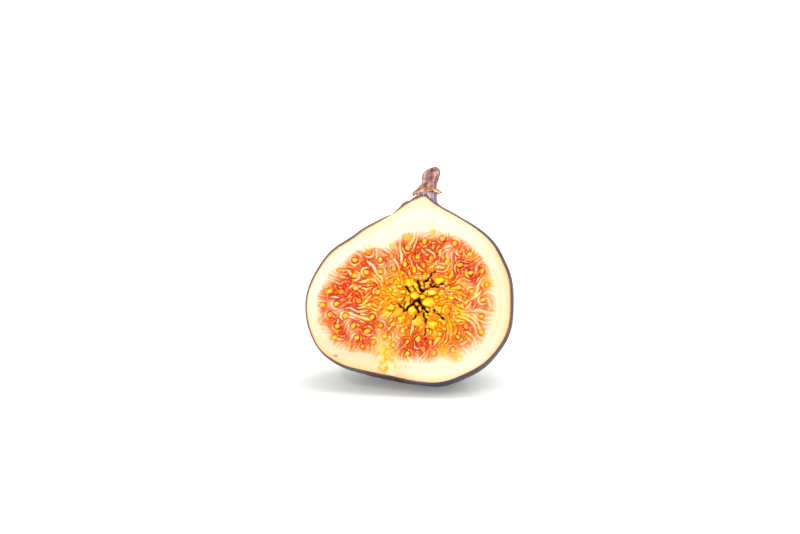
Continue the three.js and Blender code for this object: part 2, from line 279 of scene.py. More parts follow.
def section(y, inset, count):
    """The fruit's outline in the plane at y, as distances from the heart at count even angles."""
    s = np.linspace(0.02, 0.999, 900)
    sides = []
    for start, way in ((0.0, 1), (math.pi, -1)):
        turn = np.full_like(s, math.copysign(0.2, y))
        for _ in range(12):
            found = fruit_points(s, start + way * turn, inset)[:, 1]
            turn = np.arcsin(np.clip(np.sin(turn) * y / found, -1, 1))
        points = fruit_points(s, start + way * turn, inset)
        sides.append(points[np.abs(points[:, 1] - y) < 0.05])
    points = np.concatenate(sides)
    x, z = points[:, 0] - HEART_X, points[:, 2] - HEART_Z
    angles, distances = np.arctan2(z, x) % (2 * math.pi), np.hypot(x, z)
    order = np.argsort(angles)
    even = np.arange(count) * 2 * math.pi / count
    return np.interp(even, angles[order], distances[order], period=2 * math.pi)


POSE = Matrix.Translation(PLACE) @ Matrix.Rotation(-TILT_BACK, 4, "X") @ Matrix.Rotation(LEAN_RIGHT, 4, "Y")


def to_row(points, lowest=None):
    """Points of the fruit's frame in the row's frame, in metres, none lower than lowest millimetres."""
    turn, shift = np.array(POSE.to_3x3()), np.array(POSE.translation)
    moved = np.asarray(points, float) @ turn.T + shift
    if lowest is not None:
        moved[..., 2] = np.maximum(moved[..., 2], lowest)
    return moved * MM


def around_heart(angle, distance, y):
    angle, distance, y = np.broadcast_arrays(angle, distance, y)
    x = HEART_X + distance * np.cos(angle)
    z = HEART_Z + distance * np.sin(angle)
    return np.stack([x, y, z], -1)


def ring_faces(rings, count, first=0, inward=False):
    """Quads between closed rings of count points each, stored ring after ring."""
    ring, k = np.meshgrid(np.arange(rings - 1), np.arange(count), indexing="ij")
    a = first + ring * count + k
    b = first + ring * count + (k + 1) % count
    quads = np.stack([a, b, b + count, a + count], -1).reshape(-1, 4)
    return [tuple(quad) for quad in (quads[:, ::-1] if inward else quads).tolist()]


def fan(tip, first, count, inward=False):
    """Triangles from one point to a closed ring of count points."""
    pairs = [(first + k, first + (k + 1) % count) for k in range(count)]
    return [(tip, b, a) if inward else (tip, a, b) for a, b in pairs]


def show(name, data):
    """A mesh, light or camera as an object in the scene."""
    shown = bpy.data.objects.new(name, data)
    bpy.context.scene.collection.objects.link(shown)
    return shown


def make_mesh(name, points, faces, attributes, material, lowest=None):
    """A smooth mesh object in the row's frame from points in the fruit's frame."""
    mesh = bpy.data.meshes.new(name)
    mesh.from_pydata(to_row(points, lowest).tolist(), [], faces)
    for key, values in attributes.items():
        values = np.asarray(values, np.float32)
        kind, field = ("FLOAT", "value") if values.ndim == 1 else ("FLOAT_VECTOR", "vector")
        mesh.attributes.new(key, kind, "POINT").data.foreach_set(field, values.ravel())
    mesh.materials.append(material)
    mesh.polygons.foreach_set("use_smooth", [True] * len(mesh.polygons))
    mesh.update()
    return show(name, mesh)


# Materials.


def srgb(red, green, blue):
    """A colour given by its 8-bit values, as the linear values that shaders take."""
    def linear(value):
        value /= 255
        return value / 12.92 if value <= 0.04045 else ((value + 0.055) / 1.055) ** 2.4

    return (linear(red), linear(green), linear(blue), 1.0)


class Finish:
    """A material whose nodes are added one at a time."""

    def __init__(self, name, **shader):
        self.material = bpy.data.materials.new(name)
        self.material.use_nodes = True
        self.nodes = self.material.node_tree.nodes
        self.shader = self.nodes["Principled BSDF"]
        for key, value in shader.items():
            self.shader.inputs[key.replace("_", " ")].default_value = value

    def put(self, socket, value):
        if isinstance(value, bpy.types.NodeSocket):
            self.material.node_tree.links.new(value, socket)
        else:
            socket.default_value = value

    def add(self, kind, inputs=None, output=0, **settings):
        node = self.nodes.new("ShaderNode" + kind)
        for key, value in settings.items():
            setattr(node, key, value)
        for key, value in (inputs or {}).items():
            self.put(node.inputs[key], value)
        return node.outputs[output]

    def attribute(self, name, output="Fac"):
        return self.add("Attribute", attribute_name=name, output=output)

    def calc(self, operation, a, b, c=0.0):
        return self.add("Math", {0: a, 1: b, 2: c}, operation=operation)

    def times(self, a, b):
        return self.calc("MULTIPLY", a, b)

    def stir(self, value, noise, much):
        """The value moved up and down by a noise that runs from 0 to 1, by much in all."""
        return self.calc("ADD", value, self.calc("MULTIPLY_ADD", noise, much, -much / 2))

    def rise(self, value, low, high, start=0.0, end=1.0):
        """start up to low, end from high on, and a smooth slope between."""
        inputs = {"Value": value, "From Min": low, "From Max": high, "To Min": start, "To Max": end}
        return self.add("MapRange", inputs, interpolation_type="SMOOTHSTEP")

    def mix(self, share, a, b):
        node = self.nodes.new("ShaderNodeMix")
        node.data_type = "RGBA"
        self.put(node.inputs["Factor"], share)
        self.put(node.inputs[6], a)
        self.put(node.inputs[7], b)
        return node.outputs[2]

    def ramp(self, value, *stops):
        """Colours by value, with stops as (value, red, green, blue)."""
        node = self.nodes.new("ShaderNodeValToRGB")
        elements = node.color_ramp.elements
        while len(elements) < len(stops):
            elements.new(0.5)
        for element, (place, *colour) in zip(elements, stops):
            element.position, element.color = place, srgb(*colour)
        self.put(node.inputs["Fac"], value)
        return node.outputs["Color"]

    def place(self, scale=(1000.0, 1000.0, 1000.0)):
        """The point's place in millimetres, stretched by scale."""
        where = self.add("TexCoord", output="Object")
        return self.add("Mapping", {"Vector": where, "Scale": scale})

    def noise(self, vector, size, detail=2.0, roughness=0.5, distortion=0.0):
        inputs = {"Vector": vector, "Scale": 1 / size, "Detail": detail, "Roughness": roughness,
                  "Distortion": distortion}
        return self.add("TexNoise", inputs)

    def bump(self, height, millimetres, below=None):
        inputs = {"Height": height, "Distance": millimetres * MM, "Strength": 1.0}
        if below is not None:
            inputs["Normal"] = below
        return self.add("Bump", inputs)

    def finish(self, **sockets):
        for key, value in sockets.items():
            self.put(self.shader.inputs[key.replace("_", " ")], value)
        return self.material


def soft_flesh(name, radius, weight, **shader):
    """A moist material that light sinks into for about radius millimetres."""
    return Finish(name, Subsurface_Weight=weight, Subsurface_Scale=radius * MM,
                  Subsurface_Radius=(1.0, 0.45, 0.2), **shader)


def skin_material():
    """Dark purple with soft streaks, crimson patches, a blue grey bloom, small pale dots and a grey neck with
    near-white streaks painted as highlights.
    """
    f = Finish("fig_skin", Roughness=0.5, Specular_IOR_Level=0.15, Coat_Weight=0.04, Coat_Roughness=0.3)
    streaks = f.attribute("streak", "Vector")
    along = f.attribute("along")
    where = f.place()
    broad = f.noise(streaks, 0.26, 3.0, 0.5)
    fine = f.noise(streaks, 0.045, 5.0, 0.62)
    cloud = f.noise(where, 8.0, 4.0, 0.6)
    ripe = f.times(f.rise(f.noise(streaks, 0.2), 0.46, 0.68), f.rise(f.noise(where, 14.0), 0.4, 0.56))
    dust = f.noise(where, 0.7, 4.0, 0.7)
    base = f.ramp(broad,
        (0.30, 32, 20, 31), (0.46, 52, 34, 48), (0.58, 76, 50, 65), (0.74, 104, 66, 78),
    )
    base = f.mix(f.rise(fine, 0.48, 0.72, 0.0, 0.26), base, srgb(142, 108, 120))
    base = f.mix(f.times(ripe, 0.5), base, srgb(124, 60, 68))
    bloom = f.times(f.rise(cloud, 0.4, 0.64, 0.06, 0.62), f.rise(dust, 0.3, 0.6, 0.6, 1.0))
    base = f.mix(bloom, base, srgb(104, 96, 116))
    # The neck is grey lilac; its near-white streaks are painted highlights.
    neck = f.rise(along, 0.02, 0.2, 1.0, 0.0)
    pale = f.ramp(fine, (0.38, 104, 66, 92), (0.48, 178, 150, 176), (0.57, 240, 230, 240))
    base = f.mix(f.times(neck, 0.92), base, pale)
    eye = f.rise(along, 0.9, 0.985)
    base = f.mix(f.times(eye, 0.6), base, srgb(120, 62, 62))
    for spacing, size, colour in ((3.4, 0.08, srgb(206, 166, 156)), (2.1, 0.09, srgb(190, 128, 104))):
        cells = f.add("TexVoronoi", {"Vector": where, "Scale": 1 / spacing, "Randomness": 1.0}, feature="F1")
        dots = f.rise(cells, 0.55 * size, size, 1.0, 0.0)
        base = f.mix(f.times(dots, 0.75), base, colour)
    grain = f.noise(where, 0.55, 4.0, 0.6)
    roughness = f.rise(grain, 0.3, 0.7, 0.38, 0.6)
    normal = f.bump(grain, 0.06)
    normal = f.bump(fine, 0.09, below=normal)
    normal = f.bump(dots, 0.05, below=normal)
    return f.finish(Base_Color=base, Roughness=roughness, Normal=normal)


def rim_material():
    """The cut edge of the skin: purple outside, orange brown where the flesh begins."""
    f = soft_flesh("fig_skin_cut", 0.3, 0.2, Roughness=0.4, Coat_Weight=0.2, Coat_Roughness=0.2)
    depth = f.attribute("depth")
    specks = f.noise(f.place(), 0.5, 3.0)
    depth = f.stir(depth, specks, 0.5)
    colour = f.ramp(depth,
        (0.0, 38, 16, 28), (0.4, 92, 34, 28), (0.75, 172, 86, 28), (1.0, 226, 156, 72),
    )
    return f.finish(Base_Color=colour, Normal=f.bump(specks, 0.04))


def ivory(f, where, warm):
    """The flesh's colour away from the skin, yellower where warm is 1."""
    cloud = f.noise(where, 4.5, 3.0)
    base = f.mix(f.rise(cloud, 0.35, 0.65, 0.0, 0.6), srgb(253, 247, 222), srgb(252, 241, 204))
    return f.mix(f.times(warm, 0.66), base, srgb(249, 206, 160))


def canal_gold(f, where, base):
    """Yellow mottles with orange marks on the band from the pulp down to the eye."""
    mottle = f.noise(where, 1.5, 4.0, 0.68)
    gold = f.ramp(mottle,
        (0.36, 255, 244, 196), (0.47, 255, 216, 84), (0.57, 252, 176, 40), (0.68, 222, 108, 40),
    )
    return f.mix(f.times(f.attribute("canal"), f.rise(mottle, 0.3, 0.5, 0.45, 1.0)), base, gold)


def flesh_material():
    """Ivory, yellower towards the skin and the foot, with pink fibres where the pulp begins."""
    f = soft_flesh("fig_flesh", 1.2, 0.3, Roughness=0.42, Specular_IOR_Level=0.25)
    where = f.place()
    skinward = f.attribute("skinward")
    warm = f.attribute("warm")
    fibre = f.attribute("fibre", "Vector")
    threads = f.noise(fibre, 0.02, 4.0, 0.6, 0.3)
    base = ivory(f, where, warm)
    near_skin = f.times(f.rise(skinward, 0.35, 1.0), f.calc("MULTIPLY_ADD", warm, 0.2, 0.5))
    base = f.mix(near_skin, base, srgb(250, 206, 138))
    near_pulp = f.rise(skinward, 0.0, 0.5, 0.8, 0.0)
    pink = f.times(near_pulp, f.rise(threads, 0.42, 0.66, 0.1, 0.5))
    base = f.mix(pink, base, srgb(252, 204, 162))
    base = f.mix(f.attribute("mark"), base, srgb(226, 120, 50))
    base = canal_gold(f, where, base)
    base = f.mix(f.attribute("eye"), base, srgb(246, 224, 218))
    grain = f.noise(where, 0.35, 4.0, 0.6)
    normal = f.bump(grain, 0.05)
    normal = f.bump(threads, 0.1, below=normal)
    return f.finish(Base_Color=base, Normal=normal)


def pulp_material():
    """Cream, pink and orange strands outlined in deep red, more golden towards the heart, with small painted
    white highlights, and painted shade, nearly black, in the heart's cracks.
    """
    f = soft_flesh("fig_pulp", 0.2, 0.05, Roughness=0.32, Specular_IOR_Level=0.12,
                   Coat_Weight=0.12, Coat_Roughness=0.1)
    where = f.place()
    share, strand, tone, stream = (f.attribute(name) for name in ("share", "strand", "tone", "stream"))
    patch = f.noise(where, 3.2, 3.0, 0.6)
    mottle = f.noise(where, 1.1, 2.0, 0.6)
    fine = f.noise(where, 0.55, 3.0, 0.6)
    glint = f.noise(where, 0.42, 2.0, 0.7)
    golden = f.calc("MULTIPLY_ADD", f.attribute("golden"), -0.35, share)
    outwards = f.stir(golden, patch, 1.5)
    middle = f.ramp(outwards,
        (0.2, 254, 172, 0), (0.45, 250, 118, 0), (0.7, 238, 68, 0), (0.98, 228, 52, 4),
    )
    deep = f.ramp(outwards,
        (0.12, 218, 78, 0), (0.36, 196, 26, 0), (0.66, 172, 2, 0), (0.98, 188, 6, 0),
    )
    cream = f.ramp(outwards,
        (0.2, 255, 224, 56), (0.45, 255, 228, 112), (0.75, 255, 233, 162), (0.95, 255, 236, 180),
    )
    blush = f.ramp(outwards,
        (0.2, 255, 186, 0), (0.45, 255, 150, 4), (0.75, 255, 126, 24), (0.95, 253, 146, 66),
    )
    pale = f.mix(f.rise(f.stir(tone, mottle, 1.4), 0.42, 0.62), blush, cream)
    plain = f.mix(f.rise(patch, 0.45, 0.55), srgb(255, 176, 16), middle)
    pale = f.mix(f.rise(tone, 0.2, 0.26), plain, pale)
    pale = f.mix(f.times(stream, 0.9), pale, cream)
    strength = f.times(strand, f.calc("MAXIMUM", f.rise(mottle, 0.3, 0.48, 0.72, 1.0), stream))
    base = f.mix(f.times(stream, 0.5), middle, cream)
    base = f.mix(f.times(f.attribute("gap"), f.calc("MULTIPLY_ADD", stream, -0.5, 1.0)), base, deep)
    base = f.mix(strength, base, pale)
    base = f.mix(f.times(f.rise(fine, 0.57, 0.63), 0.75), base, srgb(255, 178, 16))
    dark_specks = f.times(f.rise(fine, 0.33, 0.4, 1.0, 0.0), f.calc("MULTIPLY_ADD", stream, -0.7, 0.75))
    base = f.mix(dark_specks, base, deep)
    # Painted highlights: small near-white glints, strongest on the strands.
    painted_glints = f.times(f.rise(glint, 0.62, 0.68), f.rise(strand, 0.1, 0.5, 0.2, 1.0))
    base = f.mix(painted_glints, base, srgb(255, 250, 236))
    base = f.mix(f.times(f.attribute("pit"), 0.5), base, deep)
    flesh = ivory(f, where, f.attribute("warm"))
    feather = f.stir(share, patch, 0.3)
    feather = f.stir(feather, strand, 0.05)
    feather = f.calc("MULTIPLY_ADD", f.attribute("golden"), 0.09, feather)
    base = f.mix(f.rise(feather, 0.76, 0.98, 0.0, 0.68), base, srgb(254, 168, 88))
    base = f.mix(f.rise(feather, 0.86, 1.06), base, flesh)
    base = f.mix(f.rise(share, 0.98, 1.05), base, flesh)
    base = f.mix(f.times(f.attribute("spot"), f.rise(mottle, 0.36, 0.5)), base, srgb(255, 192, 20))
    base = canal_gold(f, where, base)
    heart = f.mix(f.rise(fine, 0.35, 0.6), srgb(190, 90, 4), srgb(244, 160, 8))
    base = f.mix(f.attribute("heart"), base, heart)
    # Painted shade: the heart's cracks darken to orange brown and, in their middle, nearly black.
    base = f.mix(f.rise(f.attribute("crack"), 0.05, 0.5), base, srgb(150, 46, 4))
    base = f.mix(f.rise(f.attribute("crack"), 0.4, 0.9), base, srgb(52, 14, 4))
    return f.finish(Base_Color=base, Normal=f.bump(fine, 0.1))


def seed_material():
    """Golden under a wet film: red at the seed's foot for its rim, deepened there by painted shade, a painted
    pale highlight on its crown, and a faint painted orange glow.
    """
    # The orange emission is a painted glow, as if light shone through the seed.
    f = soft_flesh("fig_seed", 0.4, 0.2, Roughness=0.22, Specular_IOR_Level=0.3,
                   Coat_Weight=0.4, Coat_Roughness=0.06, Emission_Color=(1.0, 0.2, 0.0, 1.0),
                   Emission_Strength=0.1)
    crown = f.attribute("crown")
    tone = f.attribute("tone")
    # Red at each seed's foot for its rim, deepened there as painted shade, and pale yellow on its crown as a
    # painted highlight.
    colour = f.ramp(crown,
        (0.40, 236, 66, 2), (0.54, 252, 128, 6), (0.80, 255, 176, 10), (0.99, 255, 226, 80),
    )
    colour = f.mix(f.rise(tone, 0.5, 0.9, 0.0, 0.7), colour, srgb(244, 124, 8))
    specks = f.noise(f.place(), 0.45, 3.0)
    colour = f.mix(f.rise(specks, 0.4, 0.6, 0.5, 0.0), colour, srgb(250, 132, 8))
    return f.finish(Base_Color=colour, Normal=f.bump(specks, 0.08))


def floret_material():
    """Gold, with painted shade and light: orange brown towards the florets' feet and in the gaps, nearly
    black in the cracks, brightest on the crowns, and a faint painted orange glow.
    """
    f = soft_flesh("fig_florets", 0.4, 0.15, Roughness=0.3, Specular_IOR_Level=0.2,
                   Coat_Weight=0.3, Coat_Roughness=0.1, Emission_Color=(1.0, 0.3, 0.0, 1.0))
    crown = f.attribute("crown")
    tone = f.attribute("tone")
    where = f.place()
    blotch = f.noise(where, 1.2, 4.0, 0.65)
    wrinkle = f.noise(where, 0.4, 3.0, 0.6)
    # Painted shade and highlight: darker towards each floret's foot and in the gaps, brightest gold on its
    # crown.
    shade = f.stir(crown, blotch, 0.7)
    colour = f.ramp(f.stir(shade, wrinkle, 0.6),
        (0.34, 150, 42, 2), (0.54, 232, 110, 2), (0.74, 255, 184, 0), (0.97, 255, 222, 20),
    )
    colour = f.mix(f.rise(tone, 0.6, 1.0, 0.0, 0.45), colour, srgb(246, 140, 16))
    pale = f.noise(where, 1.6, 2.0)
    colour = f.mix(f.rise(pale, 0.6, 0.72, 0.0, 0.7), colour, srgb(255, 238, 180))
    # Painted shade in the heart's cracks: orange brown, then nearly black.
    colour = f.mix(f.rise(f.attribute("crack"), 0.05, 0.5), colour, srgb(150, 52, 4))
    colour = f.mix(f.rise(f.attribute("crack"), 0.4, 0.9), colour, srgb(52, 14, 4))
    grain = f.noise(where, 0.45, 3.0, 0.6)
    # A faint painted orange glow, as if light shone through the florets, fading out in the cracks.
    painted_glow = f.rise(f.attribute("crack"), 0.0, 0.4, 0.07, 0.0)
    return f.finish(Base_Color=colour, Emission_Strength=painted_glow, Normal=f.bump(grain, 0.12))


def stem_material():
    """Dry mauve brown bark, scuffed and finely wrinkled, paler on its ridges."""
    f = Finish("fig_stem", Roughness=0.75, Specular_IOR_Level=0.2)
    relief = f.attribute("relief")
    where = f.place()
    grain = f.noise(where, 0.35, 5.0, 0.65)
    patches = f.noise(where, 1.4, 3.0, 0.6)
    colour = f.ramp(f.stir(relief, grain, 0.5),
        (0.16, 92, 46, 44), (0.4, 160, 108, 98), (0.62, 198, 152, 138), (0.85, 226, 196, 180),
    )
    colour = f.mix(f.rise(patches, 0.46, 0.62, 0.0, 0.6), colour, srgb(134, 100, 116))
    return f.finish(Base_Color=colour, Normal=f.bump(grain, 0.14))


def bract_material():
    """Papery, brown at the foot and pale orange at its ragged edge."""
    f = Finish("fig_bract", Roughness=0.65, Subsurface_Weight=0.15, Subsurface_Scale=0.4 * MM)
    edge = f.attribute("edge")
    grain = f.noise(f.place(), 0.4, 4.0, 0.6)
    colour = f.ramp(f.stir(edge, grain, 0.6),
        (0.05, 116, 58, 44), (0.35, 176, 108, 66), (0.58, 220, 156, 98), (0.85, 250, 214, 162),
    )
    return f.finish(Base_Color=colour, Normal=f.bump(grain, 0.1))


# The skin.


def skin_shell(columns, rows, inset, start, top, relief):
    """The fruit's form as a closed shell: its points, faces and values of along and streak."""
    s = start + (LAST_RING - start) * np.linspace(0, 1, rows)
    angle = 2 * math.pi * np.arange(columns) / columns
    s, angle = np.meshgrid(s, angle, indexing="ij")
    raised = ribs(s, angle) + fine_relief(s, angle) if relief else 0.0
    points = fruit_points(s, angle, inset, raised).reshape(-1, 3)
    foot = fruit_points(np.array(1.0), np.array(0.0), inset)
    points = np.concatenate([points, [[-bend(np.array(top)), 0, top]], [foot]])
    faces = ring_faces(rows, columns) + fan(rows * columns, 0, columns, inward=True)
    faces += fan(rows * columns + 1, (rows - 1) * columns, columns)
    along = np.concatenate([s.ravel(), [0.0, 1.0]])
    streak = np.stack([np.cos(angle), np.sin(angle), 0.16 * s], -1).reshape(-1, 3)
    return points, faces, along, np.concatenate([streak, [[0, 0, 0], [0, 0, 0.16]]])


def fine_relief(s, angle):
    """Small lengthwise folds, strongest at the neck, and a shallow unevenness."""
    folds = np.cos(43 * angle + 2.2 * np.sin(3 * angle + 1) + 1.5 * np.sin(9 * s + 2 * angle))
    low = 0.10 * np.sin(5 * angle + 7 * s) + 0.08 * np.sin(7 * angle - 11 * s + 2)
    return folds * (0.03 + 0.09 * bell(s, 0.12)) + low * np.sin(math.pi * np.clip(s, 0, 1))


def make_skin():
    """The skin, cut by the plane of the face, with its thin cut edge as a second material."""
    shells = [
        skin_shell(300, 190, 0.0, 0.0, NECK_TOP, True),
        skin_shell(180, 90, SKIN, 0.06, NECK_TOP - 0.8, False),
    ]
    bm = bmesh.new()
    along_layer = bm.verts.layers.float.new("along")
    depth_layer = bm.verts.layers.float.new("depth")
    streak_layer = bm.verts.layers.float_vector.new("streak")
    for depth, (points, _, along, streak) in enumerate(shells):
        for point, share, turn in zip(points, along, streak):
            vert = bm.verts.new(point)
            vert[along_layer], vert[depth_layer], vert[streak_layer] = share, depth, Vector(turn)
    bm.verts.ensure_lookup_table()
    inner_first = len(shells[0][0])
    faces = shells[0][1] + [tuple(inner_first + v for v in face[::-1]) for face in shells[1][1]]
    for face in faces:
        bm.faces.new([bm.verts[v] for v in face]).smooth = True
    everything = bm.verts[:] + bm.edges[:] + bm.faces[:]
    cut = bmesh.ops.bisect_plane(
        bm, geom=everything, plane_co=(0, -CUT_IN_FRONT, 0), plane_no=(0, -1, 0), clear_outer=True
    )
    loops = [edge for edge in cut["geom_cut"] if isinstance(edge, bmesh.types.BMEdge)]
    rim = bmesh.ops.triangle_fill(bm, edges=loops, use_beauty=True, use_dissolve=False, normal=(0, -1, 0))
    for face in rim["geom"]:
        if isinstance(face, bmesh.types.BMFace):
            face.material_index = 1
            face.smooth = False
    for edge in loops:
        edge.smooth = False
    bmesh.ops.recalc_face_normals(bm, faces=bm.faces)
    for vert in bm.verts:
        placed = POSE @ vert.co
        placed.z = max(placed.z, SKIN_INSIDE_LOWEST if vert[depth_layer] > 0.5 else 0.0)
        vert.co = placed * MM
    mesh = bpy.data.meshes.new("fig_skin")
    bm.to_mesh(mesh)
    bm.free()
    mesh.materials.append(skin_material())
    mesh.materials.append(rim_material())
    return show("fig_skin", mesh)


# The flesh.


def canal_mask(x, z):
    """1 on the band that runs from the pulp down to the eye, in the cut face."""
    ragged = 0.4 * np.sin(3.1 * z + 2 * x) + 0.25 * np.sin(7.3 * z - 3 * x)
    return bell(line_distance(x, z, [CANAL]) + ragged, CANAL_WIDTH)


def warmth(x, z):
    """1 where the flesh is yellowest, at the fruit's foot on the left, less at its right, and 0 elsewhere."""
    foot = (1 - smoothstep(-19.0, -6.0, z)) * (1 - 0.7 * smoothstep(-2.0, 8.0, x))
    return np.maximum(foot, 0.75 * smoothstep(8.0, 21.0, x) * smoothstep(-17.0, -5.0, z))


def line_distance(x, z, lines):
    """How far each point lies from the nearest of the lines."""
    best = np.full(np.shape(x), 1e9)
    for line in lines:
        for (ax, az), (bx, bz) in zip(line, line[1:]):
            run_x, run_z = bx - ax, bz - az
            t = np.clip(((x - ax) * run_x + (z - az) * run_z) / (run_x**2 + run_z**2), 0, 1)
            best = np.minimum(best, np.hypot(x - ax - t * run_x, z - az - t * run_z))
    return best


def crack_mask(x, z):
    """1 in the heart's cracks, which narrow away from its middle."""
    wander_x = x + 0.14 * np.sin(4.1 * z) + 0.07 * np.sin(9.7 * z + 1)
    wander_z = z + 0.14 * np.sin(4.7 * x + 2)
    width = 0.12 + 0.22 * bell(np.hypot(x, z), 4.5)
    width = width * (1 + 0.45 * np.sin(3.7 * x + 1) * np.sin(3.1 * z + 2))
    return bell(line_distance(wander_x, wander_z, CRACKS), width)


def make_flesh():
    """The flesh: its cut face in fine rings, a bowl inside the skin, and the hollow for the pulp."""
    count, face_rings, hollow_rings = 900, 30, 8
    angle = 2 * math.pi * np.arange(count) / count
    outer = section(-CUT_IN_FRONT, SKIN - FLESH_INTO_SKIN, count)
    inner = reach(angle) + PULP_UNDER_FLESH
    rings, skinward = [], []
    for t in np.arange(face_rings + 1) / face_rings:
        waves = 0.07 * np.sin(9 * angle + 5 * t) + 0.05 * np.sin(31 * angle + 9 * t + 1)
        swell = 0.10 * math.sin(math.pi * t) * (1 + waves)
        rounding = 0.16 * bell(1 - t, 0.03) + 0.02 * bell(t, 0.06)
        rings.append(around_heart(angle, inner + (outer - inner) * t, -CUT_IN_FRONT - swell + rounding))
        skinward.append(np.full(count, t))
    for y in (-2.0, -0.01, 3.0, 7.0, 11.0, 15.0, 19.0, 22.0, 24.0):
        rings.append(around_heart(angle, section(y, SKIN + 0.15, count), y))
        skinward.append(np.full(count, 1.0))
    back = len(rings) * count
    faces = ring_faces(len(rings), count) + fan(back, back - count, count)
    first, dome = back + 1, PULP_DEPTH + 0.3
    hollow = []
    for slope in np.linspace(0.06, 0.94, hollow_rings) * math.pi / 2:
        y = -CUT_IN_FRONT + dome * math.sin(slope)
        hollow.append(around_heart(angle, inner * math.cos(slope), y))
    tip = [HEART_X, -CUT_IN_FRONT + dome, HEART_Z]
    points = np.concatenate(rings + [[[HEART_X, 25.2, HEART_Z]]] + hollow + [[tip]])
    for k in range(count):
        after = (k + 1) % count
        faces.append((k, first + k, first + after, after))
    faces += fan(len(points) - 1, first + (hollow_rings - 1) * count, count, inward=True)
    faces += ring_faces(hollow_rings, count, first, inward=True)
    x, z = points[:, 0], points[:, 2]
    turn, distance = np.arctan2(z - HEART_Z, x - HEART_X), np.hypot(x - HEART_X, z - HEART_Z)
    return make_mesh("fig_flesh", points, faces, {
        "skinward": np.concatenate(skinward + [np.ones(len(points) - back)]),
        "fibre": np.stack([np.cos(turn), np.sin(turn), 0.004 * distance], -1),
        "canal": canal_mask(x, z),
        "warm": warmth(x, z),
        "eye": bell(np.hypot(x - EYE[0], (z - EYE[1]) * 1.3), EYE_RADIUS),
        "mark": bell(np.hypot(x - MARK[0], (z - MARK[1]) * 1.5), MARK_RADIUS),
    }, flesh_material(), FLESH_LOWEST)


# The pulp.

def on_crevice(angle):
    return abs(math.cos(angle - CREVICE_TURN))


def seed_places():
    """The solids' seeds, and smaller ones in the gaps between them, as (x, z, radius) from the heart."""
    draw = drawer(20417)
    kept = []
    for spacing, tries, size in SEED_ROUNDS:
        for _ in range(tries):
            angle = 2 * math.pi * draw()
            limit = float(reach(angle))
            distance = math.sqrt(draw()) * limit
            x, z = distance * math.cos(angle), distance * math.sin(angle)
            if distance < SEED_CLEAR_OF_HEART + ALONG_CREVICE * on_crevice(angle):
                continue
            if distance > limit - SEED_CLEAR_OF_RIM:
                continue
            if any(math.hypot(x - other[0], z - other[1]) < spacing for other in kept):
                continue
            kept.append((x, z, size))
    return kept


class Flow:
    """The way that the pulp's strands run: out from the heart, wandering, and round each seed."""

    STEP = 0.25

    def __init__(self, seeds):
        rng = random.Random(5)
        self.low = -28.0
        self.count = int(2 * -self.low / self.STEP) + 1
        axis = self.low + self.STEP * np.arange(self.count)
        x, z = np.meshgrid(axis, axis, indexing="ij")
        r = np.maximum(0.6, np.hypot(x, z))
        across_x, across_z = -z / r, x / r
        free = 1 - 0.7 * smoothstep(0.7, 0.95, r / reach(np.arctan2(z, x)))
        for _ in range(9):
            wave = rng.uniform(2.4, 8.0)
            turn = rng.uniform(0, math.pi)
            k_x, k_z = math.cos(turn) * 2 * math.pi / wave, math.sin(turn) * 2 * math.pi / wave
            slope = 0.22 * free * np.cos(k_x * x + k_z * z + rng.uniform(0, 6.28))
            across_x = across_x + slope * math.cos(turn)
            across_z = across_z + slope * math.sin(turn)
        for seed_x, seed_z, size in seeds:
            spread = 1.5 * size
            strength = rng.choice((-1, 1)) * rng.uniform(0.8, 2.2) * size
            distance = math.hypot(seed_x, seed_z)
            out_x, out_z = seed_x / distance, seed_z / distance
            dx, dz = x - seed_x - 0.3 * out_x, z - seed_z - 0.3 * out_z
            along, side = dx * out_x + dz * out_z, -dx * out_z + dz * out_x
            pull = strength / spread**2 * np.exp(-((along / 1.5) ** 2 + side**2) / (2 * spread**2))
            across_x = across_x + dx * pull
            across_z = across_z + dz * pull
        size = np.maximum(1e-6, np.hypot(across_x, across_z))
        self.x = (across_z / size).tolist()
        self.z = (-across_x / size).tolist()

    def at(self, x, z):
        i = int((x - self.low) / self.STEP + 0.5)
        j = int((z - self.low) / self.STEP + 0.5)
        i, j = min(max(i, 0), self.count - 1), min(max(j, 0), self.count - 1)
        return self.x[i][j], self.z[i][j]


class Ground:
    """Remembers where strands lie, to keep new ones clear of them."""

    def __init__(self, cell):
        self.cell = cell
        self.cells = {}

    def add(self, x, z):
        self.cells.setdefault((int(x // self.cell), int(z // self.cell)), []).append((x, z))

    def free(self, x, z, clear):
        i, j = int(x // self.cell), int(z // self.cell)
        for di in (-1, 0, 1):
            for dj in (-1, 0, 1):
                for other_x, other_z in self.cells.get((i + di, j + dj), ()):
                    if (x - other_x) ** 2 + (z - other_z) ** 2 < clear * clear:
                        return False
        return True


